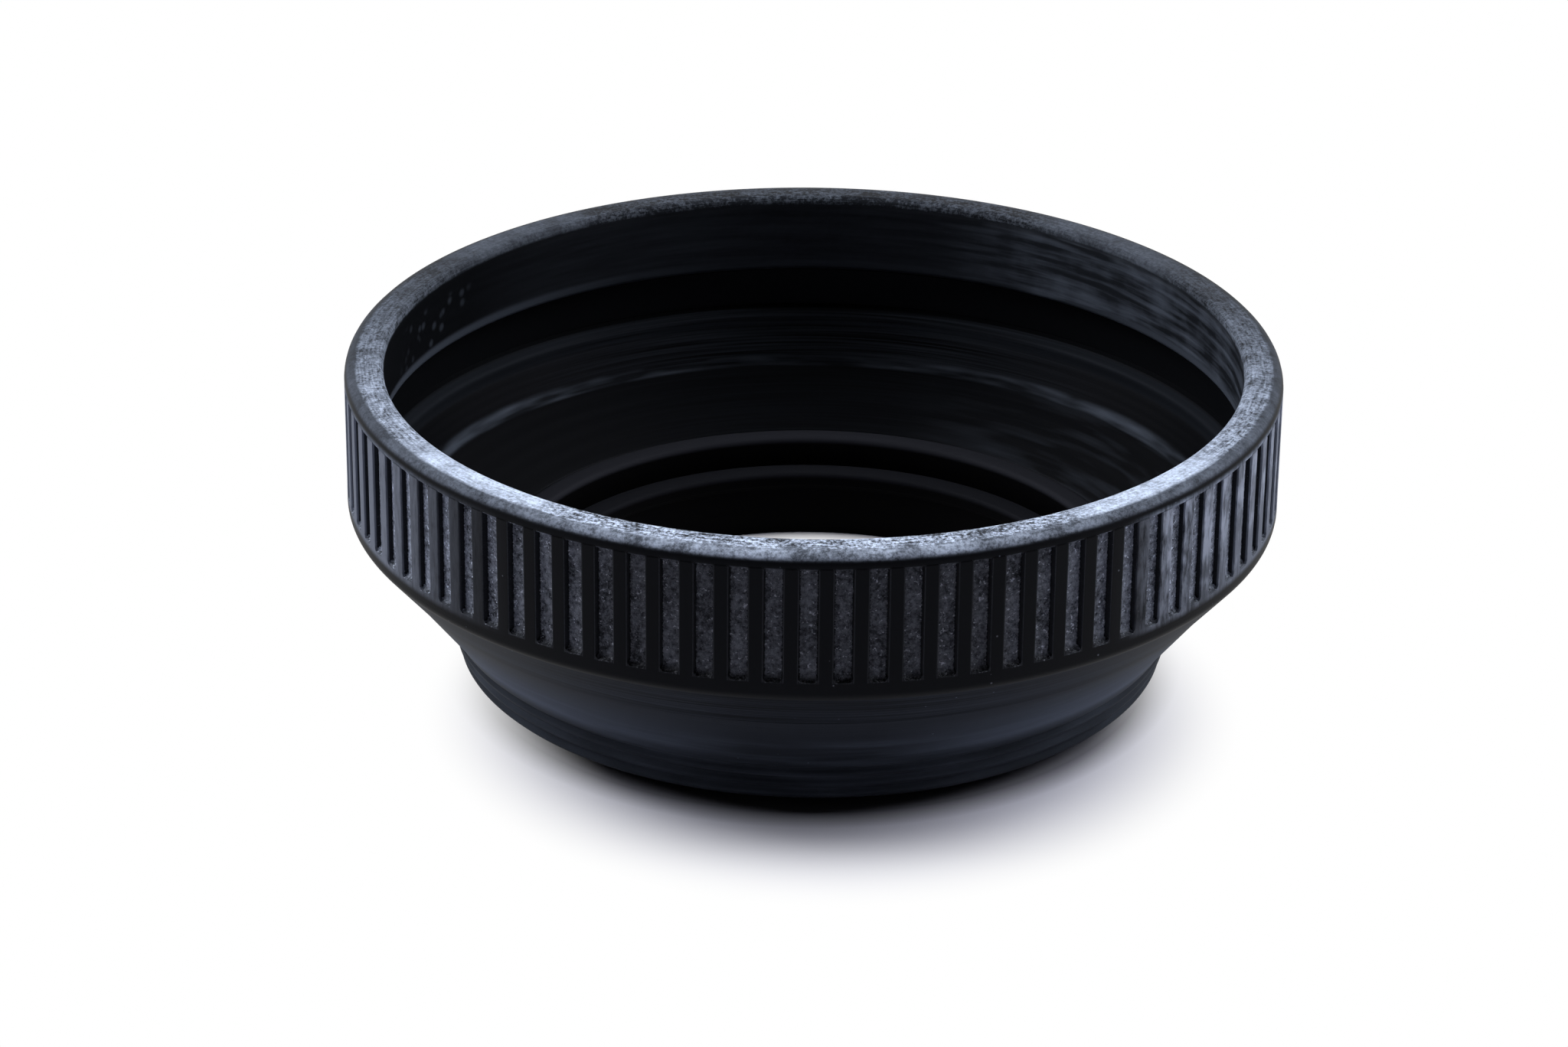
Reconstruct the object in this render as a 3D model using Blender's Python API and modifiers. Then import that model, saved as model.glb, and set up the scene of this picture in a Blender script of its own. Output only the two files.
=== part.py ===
# Collapsible rubber lens hood: a ribbed collar on a fold-back web, clamped to a threaded mount ring.
# Metres, +Z up. The hood stands on its thread at z = 0 with its wide mouth up, centred on the Z axis.
import math

import bmesh
import bpy

# Mount ring: aluminium, male thread below a flange, hub above it
THREAD_RADIUS = 0.0245
THREAD_LENGTH = 0.0024
THREAD_LEAD_IN = 0.0003
THREAD_WALL = 0.0013
FLANGE_WIDTH = 0.0019
FLANGE_THICKNESS = 0.0010
SHOULDER_WIDTH = 0.0009
SHOULDER_HEIGHT = 0.0009
HUB_HEIGHT = 0.0026
HUB_INSET = 0.0001
LEDGE_WIDTH = 0.0007
LEDGE_HEIGHT = 0.0011
LEDGE_SLOPE = 0.0007
LEDGE_ROUND = 0.0003

# Retaining ring: aluminium bush that clamps the rubber down on the flange
SLEEVE_WALL = 0.0009
LIP_OVERHANG = 0.0010
LIP_THICKNESS = 0.0010
LIP_ROUND = 0.00045

# Rubber base: thick foot round the rings, beads outside, ridged shelf inside
CLAMPED_HEIGHT = 0.0034
SKIRT_DROP = 0.0010
BASE_WALL = 0.0044
BODY_HEIGHT = 0.0047
BODY_TAPER = 0.0014
BODY_FILLET = 0.0011
BEAD_COUNT = 3
BEAD_BAND = 0.0032
BEAD_RELIEF = 0.0005
SHELF_START = 0.0014
SHELF_RIDGES = 5

# Rubber cone and web: the web is the thin stretch that turns inside out when the hood is pushed back
CONE_FLARE = 0.0077
CONE_HEIGHT = 0.0089
HINGE_LIP = 0.00045
HINGE_WALL = 0.0019
WEB_LENGTH = 0.0042
WEB_WALL = 0.00115
WEB_UPPER_WALL = 0.0017
WEB_RIDGES = 4
RIDGE_HEIGHT = 0.00012
WEB_LIP_LENGTH = 0.0011
WEB_LIP_HEIGHT = 0.0003

# Rubber collar: rounded rim, ribbed grip outside, undercut inside that takes the folded web
COLLAR_HEIGHT = 0.01195
RIM_WIDTH = 0.0032
RIM_ROUND = 0.0009
RIM_INNER_ROUND = 0.0006
MOUTH_DRAFT = 0.0003
UNDERCUT_WALL = 0.0012
UNDERCUT_HEIGHT = 0.0042
UNDERCUT_SLOPE = 0.0006
RIB_COUNT = 90
RIB_DEPTH = 0.0005
GRIP_TOP_BAND = 0.0003
GRIP_BOTTOM_BAND = 0.0013

# Gap left between pieces that seat on each other
SEAT_GAP = 0.0003

# Faces round each turned piece; the collar has one face for each rib and each groove
RING_STEPS = 62
RIM_POINTS = 4
ROUND_POINTS = 3
FILLET_POINTS = 3
FILLET_LIMIT = 0.9  # share of a side that its fillet may take
BEAD_POINTS = 3
LIP_POINTS = 3
MERGE = 0.00001

# Shading: edges that turn more than this many degrees stay crisp on the grip
CRISP_ANGLE = 40

# Radii that follow from the sizes above
flange_radius = THREAD_RADIUS + FLANGE_WIDTH
hub_radius = THREAD_RADIUS - HUB_INSET
thread_bore = THREAD_RADIUS - THREAD_WALL
ledge_bore = thread_bore - LEDGE_WIDTH
sleeve_inner = hub_radius + SEAT_GAP
sleeve_outer = sleeve_inner + SLEEVE_WALL
lip_radius = sleeve_outer + LIP_OVERHANG
rubber_bore = sleeve_outer + SEAT_GAP
body_radius = rubber_bore + BASE_WALL
collar_radius = body_radius + CONE_FLARE

# Heights that follow from the sizes above
flange_top = THREAD_LENGTH + FLANGE_THICKNESS
shoulder_top = flange_top + SHOULDER_HEIGHT
hub_top = flange_top + HUB_HEIGHT
rubber_foot = flange_top + SEAT_GAP
clamp_top = rubber_foot + CLAMPED_HEIGHT
lip_bottom = clamp_top + SEAT_GAP
lip_top = lip_bottom + LIP_THICKNESS
body_bottom = THREAD_LENGTH - SKIRT_DROP
body_top = body_bottom + BODY_HEIGHT
collar_bottom = body_top + CONE_HEIGHT
hood_top = collar_bottom + COLLAR_HEIGHT

# The web lies between the collar's lower hinge and the fold line, with a seat gap at each end
web_start = HINGE_LIP + SEAT_GAP
web_end = web_start + WEB_LENGTH
fold_line = web_end + SEAT_GAP
cone_slant = math.hypot(CONE_FLARE, CONE_HEIGHT)


def cone_point(along, inside):
    """A point measured down the outer cone from the collar's lower edge, and inwards square to the cone."""
    down, across = CONE_HEIGHT / cone_slant, CONE_FLARE / cone_slant
    return (
        collar_radius - along * across - inside * down,
        collar_bottom - along * down + inside * across,
    )


def rounded(centre, radius, start, end, points):
    """Points of an arc, with its angles in degrees from the outward direction."""
    turns = [math.radians(start + (end - start) * i / (points - 1)) for i in range(points)]
    return [(centre[0] + radius * math.cos(t), centre[1] + radius * math.sin(t)) for t in turns]


def eased(before, corner, after, reach, points):
    """A corner drawn out into a curve that takes the given reach of its two sides, if they are long enough."""
    sides = []
    for end in (before, after):
        run = (end[0] - corner[0], end[1] - corner[1])
        share = min(reach / math.hypot(*run), FILLET_LIMIT)
        sides.append((run[0] * share, run[1] * share))
    curve = []
    for i in range(points):
        leave, arrive = (1 - i / (points - 1)) ** 2, (i / (points - 1)) ** 2
        curve.append(tuple(corner[k] + sides[0][k] * leave + sides[1][k] * arrive for k in (0, 1)))
    return curve


def ridged(start, end, ridges, height):
    """A sawtooth of fine ridges between two points, standing up from the line that joins them."""
    run = (end[0] - start[0], end[1] - start[1])
    length = math.hypot(*run)
    rise = (-run[1] * height / length, run[0] * height / length)
    points = [start]
    for i in range(ridges):
        crest, foot = (i + 0.5) / ridges, (i + 1.0) / ridges
        points.append((start[0] + run[0] * crest + rise[0], start[1] + run[1] * crest + rise[1]))
        points.append((start[0] + run[0] * foot, start[1] + run[1] * foot))
    return points


def mount_ring_outline():
    """Land, hub and shoulder, flange and thread down the outside, then the stepped bore back up."""
    ledge_foot = hub_top - LEDGE_HEIGHT
    return [
        (hub_radius, hub_top),
        (hub_radius, shoulder_top),
        (hub_radius + SHOULDER_WIDTH, shoulder_top),
        (hub_radius + SHOULDER_WIDTH, flange_top),
        (flange_radius, flange_top),
        (flange_radius, THREAD_LENGTH),
        (THREAD_RADIUS, THREAD_LENGTH),
        (THREAD_RADIUS, THREAD_LEAD_IN),
        (THREAD_RADIUS - THREAD_LEAD_IN, 0.0),
        (thread_bore, 0.0),
        (thread_bore, ledge_foot - LEDGE_SLOPE),
        (ledge_bore, ledge_foot),
        (ledge_bore, hub_top - LEDGE_ROUND),
        (ledge_bore + LEDGE_ROUND, hub_top),
    ]


def retaining_ring_outline():
    """A flanged bush with a rounded lip, whose sleeve sits over the hub on its shoulder."""
    sleeve_foot = shoulder_top + SEAT_GAP
    round_height = lip_top - LIP_ROUND
    outer = rounded((lip_radius - LIP_ROUND, round_height), LIP_ROUND, 90, 0, ROUND_POINTS)
    inner = rounded((sleeve_inner + LIP_ROUND, round_height), LIP_ROUND, 180, 90, ROUND_POINTS)
    sleeve = [
        (lip_radius, lip_bottom),
        (sleeve_outer, lip_bottom),
        (sleeve_outer, sleeve_foot),
        (sleeve_inner, sleeve_foot),
    ]
    return outer + sleeve + inner


def rubber_base_outline():
    """Cone, waist and beaded body down the outside, the clamped foot, then the ridged shelf to the fold."""
    fold_outer = cone_point(fold_line, 0.0)
    fold_inner = cone_point(fold_line, WEB_WALL)
    band_top = body_bottom + BEAD_BAND
    taper = BODY_TAPER / BODY_HEIGHT
    pitch = BEAD_BAND / BEAD_COUNT
    band_edge = (body_radius - taper * (body_top - band_top), band_top)
    waist = eased(fold_outer, (body_radius, body_top), band_edge, BODY_FILLET, FILLET_POINTS)
    outside = [fold_outer, *waist, band_edge]
    for i in range(BEAD_COUNT):
        for j in range(BEAD_POINTS):
            share = (j + 0.5) / BEAD_POINTS
            height = band_top - pitch * (i + share)
            swell = BEAD_RELIEF * (math.sin(math.pi * share) - 1.0)
            outside.append((body_radius - taper * (body_top - height) + swell, height))
    skirt = flange_radius + SEAT_GAP
    shelf_edge = lip_radius + SEAT_GAP
    foot = [
        (body_radius - BODY_TAPER - BEAD_RELIEF, body_bottom),
        (skirt, body_bottom),
        (skirt, rubber_foot),
        (rubber_bore, rubber_foot),
        (rubber_bore, clamp_top),
        (shelf_edge, clamp_top),
    ]
    shelf = ridged((shelf_edge, clamp_top + SHELF_START), fold_inner, SHELF_RIDGES, RIDGE_HEIGHT)
    return outside + foot + shelf


def fold_web_outline():
    """The thin cone wall between the two hinges, ridged on its inner face up to a rounded lip."""
    thinning = (WEB_UPPER_WALL - WEB_WALL) / WEB_LENGTH

    def inner_point(along, swell):
        return cone_point(along, WEB_UPPER_WALL - thinning * (along - web_start) + swell)

    outside = [cone_point(web_start, 0.0), cone_point(web_end, 0.0)]
    lip_foot = web_start + WEB_LIP_LENGTH
    ridges = ridged(inner_point(web_end, 0.0), inner_point(lip_foot, 0.0), WEB_RIDGES, RIDGE_HEIGHT)
    lip = []
    for i in range(1, LIP_POINTS + 1):
        share = i / (LIP_POINTS + 1)
        swell = WEB_LIP_HEIGHT * math.sin(math.pi * share)
        lip.append(inner_point(lip_foot - WEB_LIP_LENGTH * share, swell))
    return outside + ridges + lip + [inner_point(web_start, 0.0)]


def front_collar_outline():
    """Rim, grip and lower edge down the outside, then the undercut and the mouth wall back up."""
    grip_top = hood_top - RIM_ROUND - GRIP_TOP_BAND
    grip_bottom = collar_bottom + GRIP_BOTTOM_BAND
    mouth_radius = collar_radius - RIM_WIDTH
    undercut = collar_radius - UNDERCUT_WALL
    hinge_inner = cone_point(HINGE_LIP, HINGE_WALL)
    undercut_top = hinge_inner[1] + UNDERCUT_HEIGHT
    rim = rounded((collar_radius - RIM_ROUND, hood_top - RIM_ROUND), RIM_ROUND, 90, 0, RIM_POINTS)
    grip = [(collar_radius, grip_top), (collar_radius, grip_bottom), (collar_radius, collar_bottom)]
    hollow = [
        cone_point(HINGE_LIP, 0.0),
        hinge_inner,
        (undercut, hinge_inner[1] + UNDERCUT_SLOPE),
        (undercut, undercut_top - UNDERCUT_SLOPE),
        (mouth_radius + MOUTH_DRAFT, undercut_top),
    ]
    mouth_round = (mouth_radius + RIM_INNER_ROUND, hood_top - RIM_INNER_ROUND)
    return rim + grip + hollow + rounded(mouth_round, RIM_INNER_ROUND, 180, 90, ROUND_POINTS)


def finish(name, colour, roughness, metallic):
    material = bpy.data.materials.new(name)
    material.use_nodes = True
    surface = material.node_tree.nodes["Principled BSDF"]
    surface.inputs["Base Color"].default_value = (*colour, 1.0)
    surface.inputs["Roughness"].default_value = roughness
    surface.inputs["Metallic"].default_value = metallic
    return material


def turned(name, outline, steps, material):
    """One closed ring, turned about the Z axis from an outline that runs down its outer side."""
    count = len(outline)
    mesh = bpy.data.meshes.new(name)
    mesh.from_pydata([(r, 0.0, z) for r, z in outline], [(i, (i + 1) % count) for i in range(count)], [])
    mesh.materials.append(material)
    ring = bpy.data.objects.new(name, mesh)
    hood.objects.link(ring)
    ring.parent = hood_axis
    screw = ring.modifiers.new("turn", "SCREW")
    screw.axis = "Z"
    screw.angle = math.tau
    screw.steps = steps
    screw.render_steps = steps
    screw.use_merge_vertices = True
    screw.merge_threshold = MERGE
    screw.use_smooth_shade = True
    return ring


def press_grooves(collar):
    """Presses every second face of the grip band inwards, which leaves the ribs standing."""
    grip_top = hood_top - RIM_ROUND - GRIP_TOP_BAND
    grip_bottom = collar_bottom + GRIP_BOTTOM_BAND
    evaluated = collar.evaluated_get(bpy.context.evaluated_depsgraph_get())
    mesh = bpy.data.meshes.new_from_object(evaluated)
    collar.modifiers.clear()
    collar.data = mesh
    grip = bmesh.new()
    grip.from_mesh(mesh)

    def in_band(face):
        heights = [v.co.z for v in face.verts]
        outside = min(v.co.xy.length for v in face.verts) > collar_radius - MERGE
        return outside and min(heights) > grip_bottom - MERGE and max(heights) < grip_top + MERGE

    band = [face for face in grip.faces if in_band(face)]
    band.sort(key=lambda face: math.atan2(face.calc_center_median().y, face.calc_center_median().x))
    pressed = bmesh.ops.extrude_discrete_faces(grip, faces=band[::2])["faces"]
    share = (collar_radius - RIB_DEPTH) / collar_radius
    for face in pressed:
        for vertex in face.verts:
            vertex.co.xy *= share
    grip.to_mesh(mesh)
    grip.free()
    mesh.set_sharp_from_angle(angle=math.radians(CRISP_ANGLE))


for old in list(bpy.data.objects):
    bpy.data.objects.remove(old)

hood = bpy.data.collections.new("lens_hood")
bpy.context.scene.collection.children.link(hood)
hood_axis = bpy.data.objects.new("hood_axis", None)
hood.objects.link(hood_axis)

collar_rubber = finish("weathered black rubber", (0.016, 0.017, 0.019), 0.62, 0.0)
web_rubber = finish("flexed black rubber", (0.012, 0.012, 0.014), 0.55, 0.0)
base_rubber = finish("smooth black rubber", (0.013, 0.013, 0.015), 0.48, 0.0)
mount_metal = finish("black anodised aluminium", (0.014, 0.014, 0.016), 0.38, 0.6)
lip_metal = finish("satin black enamel on aluminium", (0.013, 0.014, 0.016), 0.45, 0.2)

turned("mount_ring", mount_ring_outline(), RING_STEPS, mount_metal)
turned("retaining_ring", retaining_ring_outline(), RING_STEPS, lip_metal)
turned("rubber_base", rubber_base_outline(), RING_STEPS, base_rubber)
turned("fold_web", fold_web_outline(), RING_STEPS, web_rubber)
front_collar = turned("front_collar", front_collar_outline(), 2 * RIB_COUNT, collar_rubber)
press_grooves(front_collar)
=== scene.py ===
# Fold-back rubber lens hood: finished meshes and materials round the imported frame.
import math

import bmesh
import bpy
from mathutils import Matrix, Vector


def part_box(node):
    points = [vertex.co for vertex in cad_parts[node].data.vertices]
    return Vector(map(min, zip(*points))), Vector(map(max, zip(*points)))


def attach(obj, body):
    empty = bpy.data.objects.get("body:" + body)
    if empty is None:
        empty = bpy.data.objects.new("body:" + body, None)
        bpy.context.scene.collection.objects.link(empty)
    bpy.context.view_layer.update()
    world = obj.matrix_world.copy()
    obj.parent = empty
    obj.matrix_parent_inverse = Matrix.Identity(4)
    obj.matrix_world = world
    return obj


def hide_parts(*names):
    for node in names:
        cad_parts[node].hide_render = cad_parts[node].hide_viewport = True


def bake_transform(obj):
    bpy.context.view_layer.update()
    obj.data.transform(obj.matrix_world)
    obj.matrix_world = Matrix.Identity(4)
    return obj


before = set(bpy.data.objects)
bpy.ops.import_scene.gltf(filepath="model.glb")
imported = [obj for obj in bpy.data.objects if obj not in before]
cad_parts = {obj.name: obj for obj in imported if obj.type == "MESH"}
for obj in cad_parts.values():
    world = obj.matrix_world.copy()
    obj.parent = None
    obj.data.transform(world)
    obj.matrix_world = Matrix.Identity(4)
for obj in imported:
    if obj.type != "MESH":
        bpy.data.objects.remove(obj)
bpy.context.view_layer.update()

mm = 0.001
past = 1 * mm    # a limit this far outside the hood takes in all of a surface
print("frame loaded:", ", ".join(sorted(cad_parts)))

# Sizes read from the frame
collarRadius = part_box("front_collar")[1].x
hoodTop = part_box("front_collar")[1].z
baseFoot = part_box("rubber_base")[0].z
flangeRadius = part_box("mount_ring")[1].x
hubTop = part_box("mount_ring")[1].z
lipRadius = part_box("retaining_ring")[1].x
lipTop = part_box("retaining_ring")[1].z

# The cone that carries the collar, shared by the three rubber pieces
coneSettings = {
    "collarHeight": 11.95 * mm,
    "flare": 7.7 * mm,
    "height": 8.9 * mm,
    "hingeAlong": 0.45 * mm,    # the web's upper hinge, down the cone from the collar's edge
    "foldAlong": 5.25 * mm,     # the web's lower hinge
    "hingeWall": 1.9 * mm,
    "foldWall": 1.15 * mm,
    "skin": 0.3 * mm,           # what lies this near to the outer cone is on the outside
    "skinFade": 0.2 * mm,
}
collarFoot = hoodTop - coneSettings["collarHeight"]
bodyRadius = collarRadius - coneSettings["flare"]
bodyTop = collarFoot - coneSettings["height"]
coneSlant = math.hypot(coneSettings["flare"], coneSettings["height"])
coneDown = coneSettings["height"] / coneSlant
coneAcross = coneSettings["flare"] / coneSlant


def conePoint(along, inside):
    # down the outer cone from the collar's edge, then square to it into the wall
    return (
        collarRadius - along * coneAcross - inside * coneDown,
        collarFoot - along * coneDown + inside * coneAcross,
    )


# Outlines

def softOutline(corners, steps=5):
    # each corner is (radius, height, reach): a reach above zero rounds it with a short curve
    points = []
    for i, (r, z, reach) in enumerate(corners):
        if reach <= 0:
            points.append((r, z))
            continue
        corner = Vector((r, z))
        before = (Vector(corners[i - 1][:2]) - corner).normalized() * reach
        after = (Vector(corners[(i + 1) % len(corners)][:2]) - corner).normalized() * reach
        for k in range(steps + 1):
            t = k / steps
            point = corner + before * (1 - t) ** 2 + after * t ** 2
            points.append(tuple(point))
    return points


def ridgedLine(start, end, ridges, height, pointsEach=6):
    # rounded ridges along a line, standing up on its left side
    run = Vector(end) - Vector(start)
    rise = Vector((-run.y, run.x)).normalized() * height
    points = []
    for k in range(1, ridges * pointsEach):
        share = k / (ridges * pointsEach)
        swell = 0.5 - 0.5 * math.cos(math.tau * ridges * share)
        point = Vector(start) + run * share + rise * swell
        points.append((point.x, point.y, 0))
    return points


def turnRing(name, outline, columns):
    # a circle is extruded loop by loop along the outline, and its two ends are bridged
    bpy.ops.object.select_all(action="DESELECT")
    radius, height = outline[0]
    bpy.ops.mesh.primitive_circle_add(vertices=columns, radius=radius, location=(0, 0, height))
    ring = bpy.context.active_object
    ring.name = name
    ring.data.name = name
    bpy.ops.object.transform_apply(location=True, rotation=True, scale=True)
    bpy.ops.object.mode_set(mode="EDIT")
    bpy.ops.mesh.select_mode(type="EDGE")
    bpy.ops.mesh.select_all(action="SELECT")
    for (r0, z0), (r1, z1) in zip(outline, outline[1:]):
        bpy.ops.mesh.extrude_edges_move(TRANSFORM_OT_translate={"value": (0, 0, z1 - z0)})
        bpy.ops.transform.resize(value=(r1 / r0, r1 / r0, 1), center_override=(0, 0, 0))
    bpy.ops.mesh.select_non_manifold(extend=False)
    bpy.ops.mesh.bridge_edge_loops()
    bpy.ops.mesh.select_all(action="SELECT")
    bpy.ops.mesh.normals_make_consistent(inside=False)
    bpy.ops.object.mode_set(mode="OBJECT")
    return ring


def pickPoints(ring, test):
    # selects the mesh points whose radius and height pass the test
    mesh = bmesh.from_edit_mesh(ring.data)
    for vert in mesh.verts:
        vert.select_set(test(vert.co.xy.length, vert.co.z))
    mesh.select_flush_mode()
    bmesh.update_edit_mesh(ring.data)


def pickEdges(ring, test):
    mesh = bmesh.from_edit_mesh(ring.data)
    for edge in mesh.edges:
        edge.select_set(test(edge))
    bmesh.update_edit_mesh(ring.data)


def finishRing(ring, angle):
    bpy.ops.object.select_all(action="DESELECT")
    ring.select_set(True)
    bpy.context.view_layer.objects.active = ring
    bpy.ops.object.shade_smooth_by_angle(angle=math.radians(angle))


# Collar

collarSettings = {
    "ribs": 90,
    "columnsPerRib": 16,
    "grooveColumns": 9,
    "groovePhase": 269.8,         # degrees round the axis to the middle of a groove
    "grooveDepth": 0.5 * mm,
    "grooveRunUp": 0.35 * mm,     # the floor curves out over this height at the foot of a groove
    "runUpRows": 4,
    "runUpLeast": 0.3,            # share of the depth that is left at the very foot
    "footRound": 0.3 * mm,        # the foot's corners are rounded towards the walls
    "footReach": 1.2 * mm,
    "gripTop": 1.2 * mm,          # below the rim
    "gripFoot": 1.25 * mm,        # above the collar's lower edge
    "rimWidth": 3.2 * mm,
    "rimRound": 1.3 * mm,
    "mouthRound": 0.7 * mm,
    "mouthDraft": 0.3 * mm,
    "undercutRadius": 36.8 * mm,
    "undercutFoot": 16.0 * mm,
    "undercutTop": 19.5 * mm,
    "mouthFoot": 20.1 * mm,
    "edgeRound": 0.35 * mm,
    "roundSteps": 7,
    "ribBevel": 0.09 * mm,
    "ribFoot": 0.8 * mm,          # the worn edges of the ribs start this far above the lower edge
    "skin": 0.05 * mm,            # what lies this near to the outer radius is on the outside
    "wallDepth": 0.2 * mm,        # and a face deeper than this is a groove's wall
    "closeTo": 0.01 * mm,
    "smoothAngle": 35,
    "specular": 0.068,
}


def buildCollar():
    s = collarSettings
    gripTop, gripFoot = hoodTop - s["gripTop"], collarFoot + s["gripFoot"]
    mouth = collarRadius - s["rimWidth"]
    hingeInner = conePoint(coneSettings["hingeAlong"], coneSettings["hingeWall"])
    runUp = [gripFoot + s["grooveRunUp"] * (1 - k / s["runUpRows"]) for k in range(s["runUpRows"])]
    corners = [
        (mouth, hoodTop, s["mouthRound"]),
        (collarRadius, hoodTop, s["rimRound"]),
        (collarRadius, gripTop, 0),
        *[(collarRadius, height, 0) for height in runUp],
        (collarRadius, gripFoot, 0),
        (collarRadius, collarFoot, s["edgeRound"]),
        (*conePoint(coneSettings["hingeAlong"], 0), 0),
        (*hingeInner, 0),
        (s["undercutRadius"], s["undercutFoot"], 0),
        (s["undercutRadius"], s["undercutTop"], s["edgeRound"]),
        (mouth + s["mouthDraft"], s["mouthFoot"], s["edgeRound"]),
    ]
    collar = turnRing("collar", softOutline(corners, s["roundSteps"]), s["ribs"] * s["columnsPerRib"])

    # each groove is pressed in from the grip, and its floor curves out again at the foot
    pitch = 360 / s["ribs"]
    column = pitch / s["columnsPerRib"]
    halfGroove = s["grooveColumns"] * column / 2
    floorRadius = collarRadius - s["grooveDepth"]

    def fromGroove(point):
        # degrees round the axis from the middle of the nearest groove
        angle = math.degrees(math.atan2(point.y, point.x)) % 360
        return abs((angle - s["groovePhase"] + pitch / 2) % pitch - pitch / 2)

    bpy.ops.object.mode_set(mode="EDIT")
    bpy.ops.mesh.select_mode(type="VERT")
    bpy.ops.mesh.select_all(action="SELECT")
    firstColumn = 90 % column
    turn = (s["groovePhase"] + halfGroove - firstColumn) % column
    bpy.ops.transform.rotate(value=-math.radians(turn), orient_axis="Z", center_override=(0, 0, 0))
    bpy.ops.mesh.select_mode(type="FACE")
    mesh = bmesh.from_edit_mesh(collar.data)
    for face in mesh.faces:
        centre = face.calc_center_median()
        inGrip = centre.xy.length > collarRadius - s["skin"] and gripFoot < centre.z < gripTop
        face.select_set(inGrip and fromGroove(centre) < halfGroove)
    bmesh.update_edit_mesh(collar.data)
    bpy.ops.mesh.extrude_region_move()
    bpy.ops.transform.resize(value=(floorRadius / collarRadius,) * 2 + (1,), center_override=(0, 0, 0))
    bpy.ops.mesh.select_mode(type="VERT")
    for rowHeight in [*runUp[1:], gripFoot]:
        drop = 1 - (rowHeight - gripFoot) / s["grooveRunUp"]
        rowRadius = collarRadius - s["grooveDepth"] * max(s["runUpLeast"], math.sqrt(1 - drop ** 2))

        def onRow(radius, height):
            return abs(radius - floorRadius) < s["closeTo"] and abs(height - rowHeight) < s["closeTo"]

        pickPoints(collar, onRow)
        bpy.ops.transform.resize(value=(rowRadius / floorRadius,) * 2 + (1,), center_override=(0, 0, 0))

    # the foot's corners are lifted towards the walls
    mesh = bmesh.from_edit_mesh(collar.data)
    roundShare = s["footRound"] / math.radians(halfGroove) / collarRadius
    for vert in mesh.verts:
        away = fromGroove(vert.co)
        height = vert.co.z - gripFoot
        inGroove = away <= halfGroove + column / 4 and vert.co.xy.length >= floorRadius - s["closeTo"]
        if not inGroove or not -s["closeTo"] < height < s["footReach"]:
            continue
        beside = min(1, max(0, (away / halfGroove - 1 + roundShare) / roundShare))
        lift = s["footRound"] * (1 - math.sqrt(1 - beside ** 2))
        vert.co.z += lift * (1 - height / s["footReach"])
    bmesh.update_edit_mesh(collar.data)

    # the worn edges of the ribs: where a groove's wall meets the outer face
    bpy.ops.mesh.select_mode(type="EDGE")

    def ribEdge(edge):
        if min(v.co.xy.length for v in edge.verts) < collarRadius - s["skin"]:
            return False
        depths = [collarRadius - face.calc_center_median().xy.length for face in edge.link_faces]
        walls = [depth for depth in depths if depth > s["wallDepth"]]
        return len(walls) == 1 and edge.verts[0].co.z > collarFoot + s["ribFoot"]

    pickEdges(collar, ribEdge)
    bpy.ops.mesh.bevel(offset=s["ribBevel"], segments=2, affect="EDGES")
    bpy.ops.object.mode_set(mode="OBJECT")
    finishRing(collar, s["smoothAngle"])
    return collar


# Web

webSettings = {
    "columns": 360,
    "ridges": 4,
    "ridgeHeight": 0.012 * mm,
    "lipHeight": 0.4 * mm,
    "lipShare": 0.36,           # of the way down the wall
    "lipPoints": 12,
    "smoothAngle": 40,
    "specular": 0.02,
    # a painted highlight along the upper lip
    "lipHighlight": (35.5 * mm, 36.0 * mm),
    "lipHighlightFade": 0.3 * mm,
    "lineFilm": 0.022,
}


def buildWeb():
    s, c = webSettings, coneSettings
    foot = conePoint(c["foldAlong"], c["foldWall"])
    head = conePoint(c["hingeAlong"], c["hingeWall"])
    lipFoot = tuple(Vector(head).lerp(Vector(foot), s["lipShare"]))
    corners = [
        (*conePoint(c["hingeAlong"], 0), 0),
        (*conePoint(c["foldAlong"], 0), 0),
        (*foot, 0),
        *ridgedLine(foot, lipFoot, s["ridges"], s["ridgeHeight"]),
        (*lipFoot, 0),
        *ridgedLine(lipFoot, head, 1, s["lipHeight"], s["lipPoints"]),
        (*head, 0),
    ]
    web = turnRing("fold_web_skin", softOutline(corners), s["columns"])
    finishRing(web, s["smoothAngle"])
    return web


# Base

baseSettings = {
    "columns": 360,
    "bodyTaper": 1.4 * mm,
    "bodyHeight": 4.7 * mm,
    "waistDrop": 0.5 * mm,      # the cone runs on past its foot, to a waist just above the beads
    "waistRound": 0.55 * mm,
    "beads": 3,
    "beadBand": 3.2 * mm,
    "beadRelief": 0.3 * mm,
    "beadGap": 0.35 * mm,
    "beadPoints": 10,
    "footRound": 0.3 * mm,
    "skirtGap": 0.3 * mm,
    "clampFoot": 3.7 * mm,
    "clampTop": 7.1 * mm,
    "boreRadius": 25.9 * mm,
    "lipGap": 0.08 * mm,
    "shelfRise": 1.05 * mm,
    "shelfRound": 0.25 * mm,
    "shelfRidges": 5,
    "ridgeHeight": 0.02 * mm,
    "roundSteps": 8,
    "smoothAngle": 40,
    "specular": 0.035,
    "smearMm": (12.0, 1.4),
    "smearAndHighlightTop": 1.5 * mm,       # above the waist
    "filmFrom": 1.2 * mm,       # the film starts this far below the waist
    "filmTo": 0.2 * mm,
    "leastFilm": 0.0165,
    "lineFilm": 0.003,
}


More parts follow.
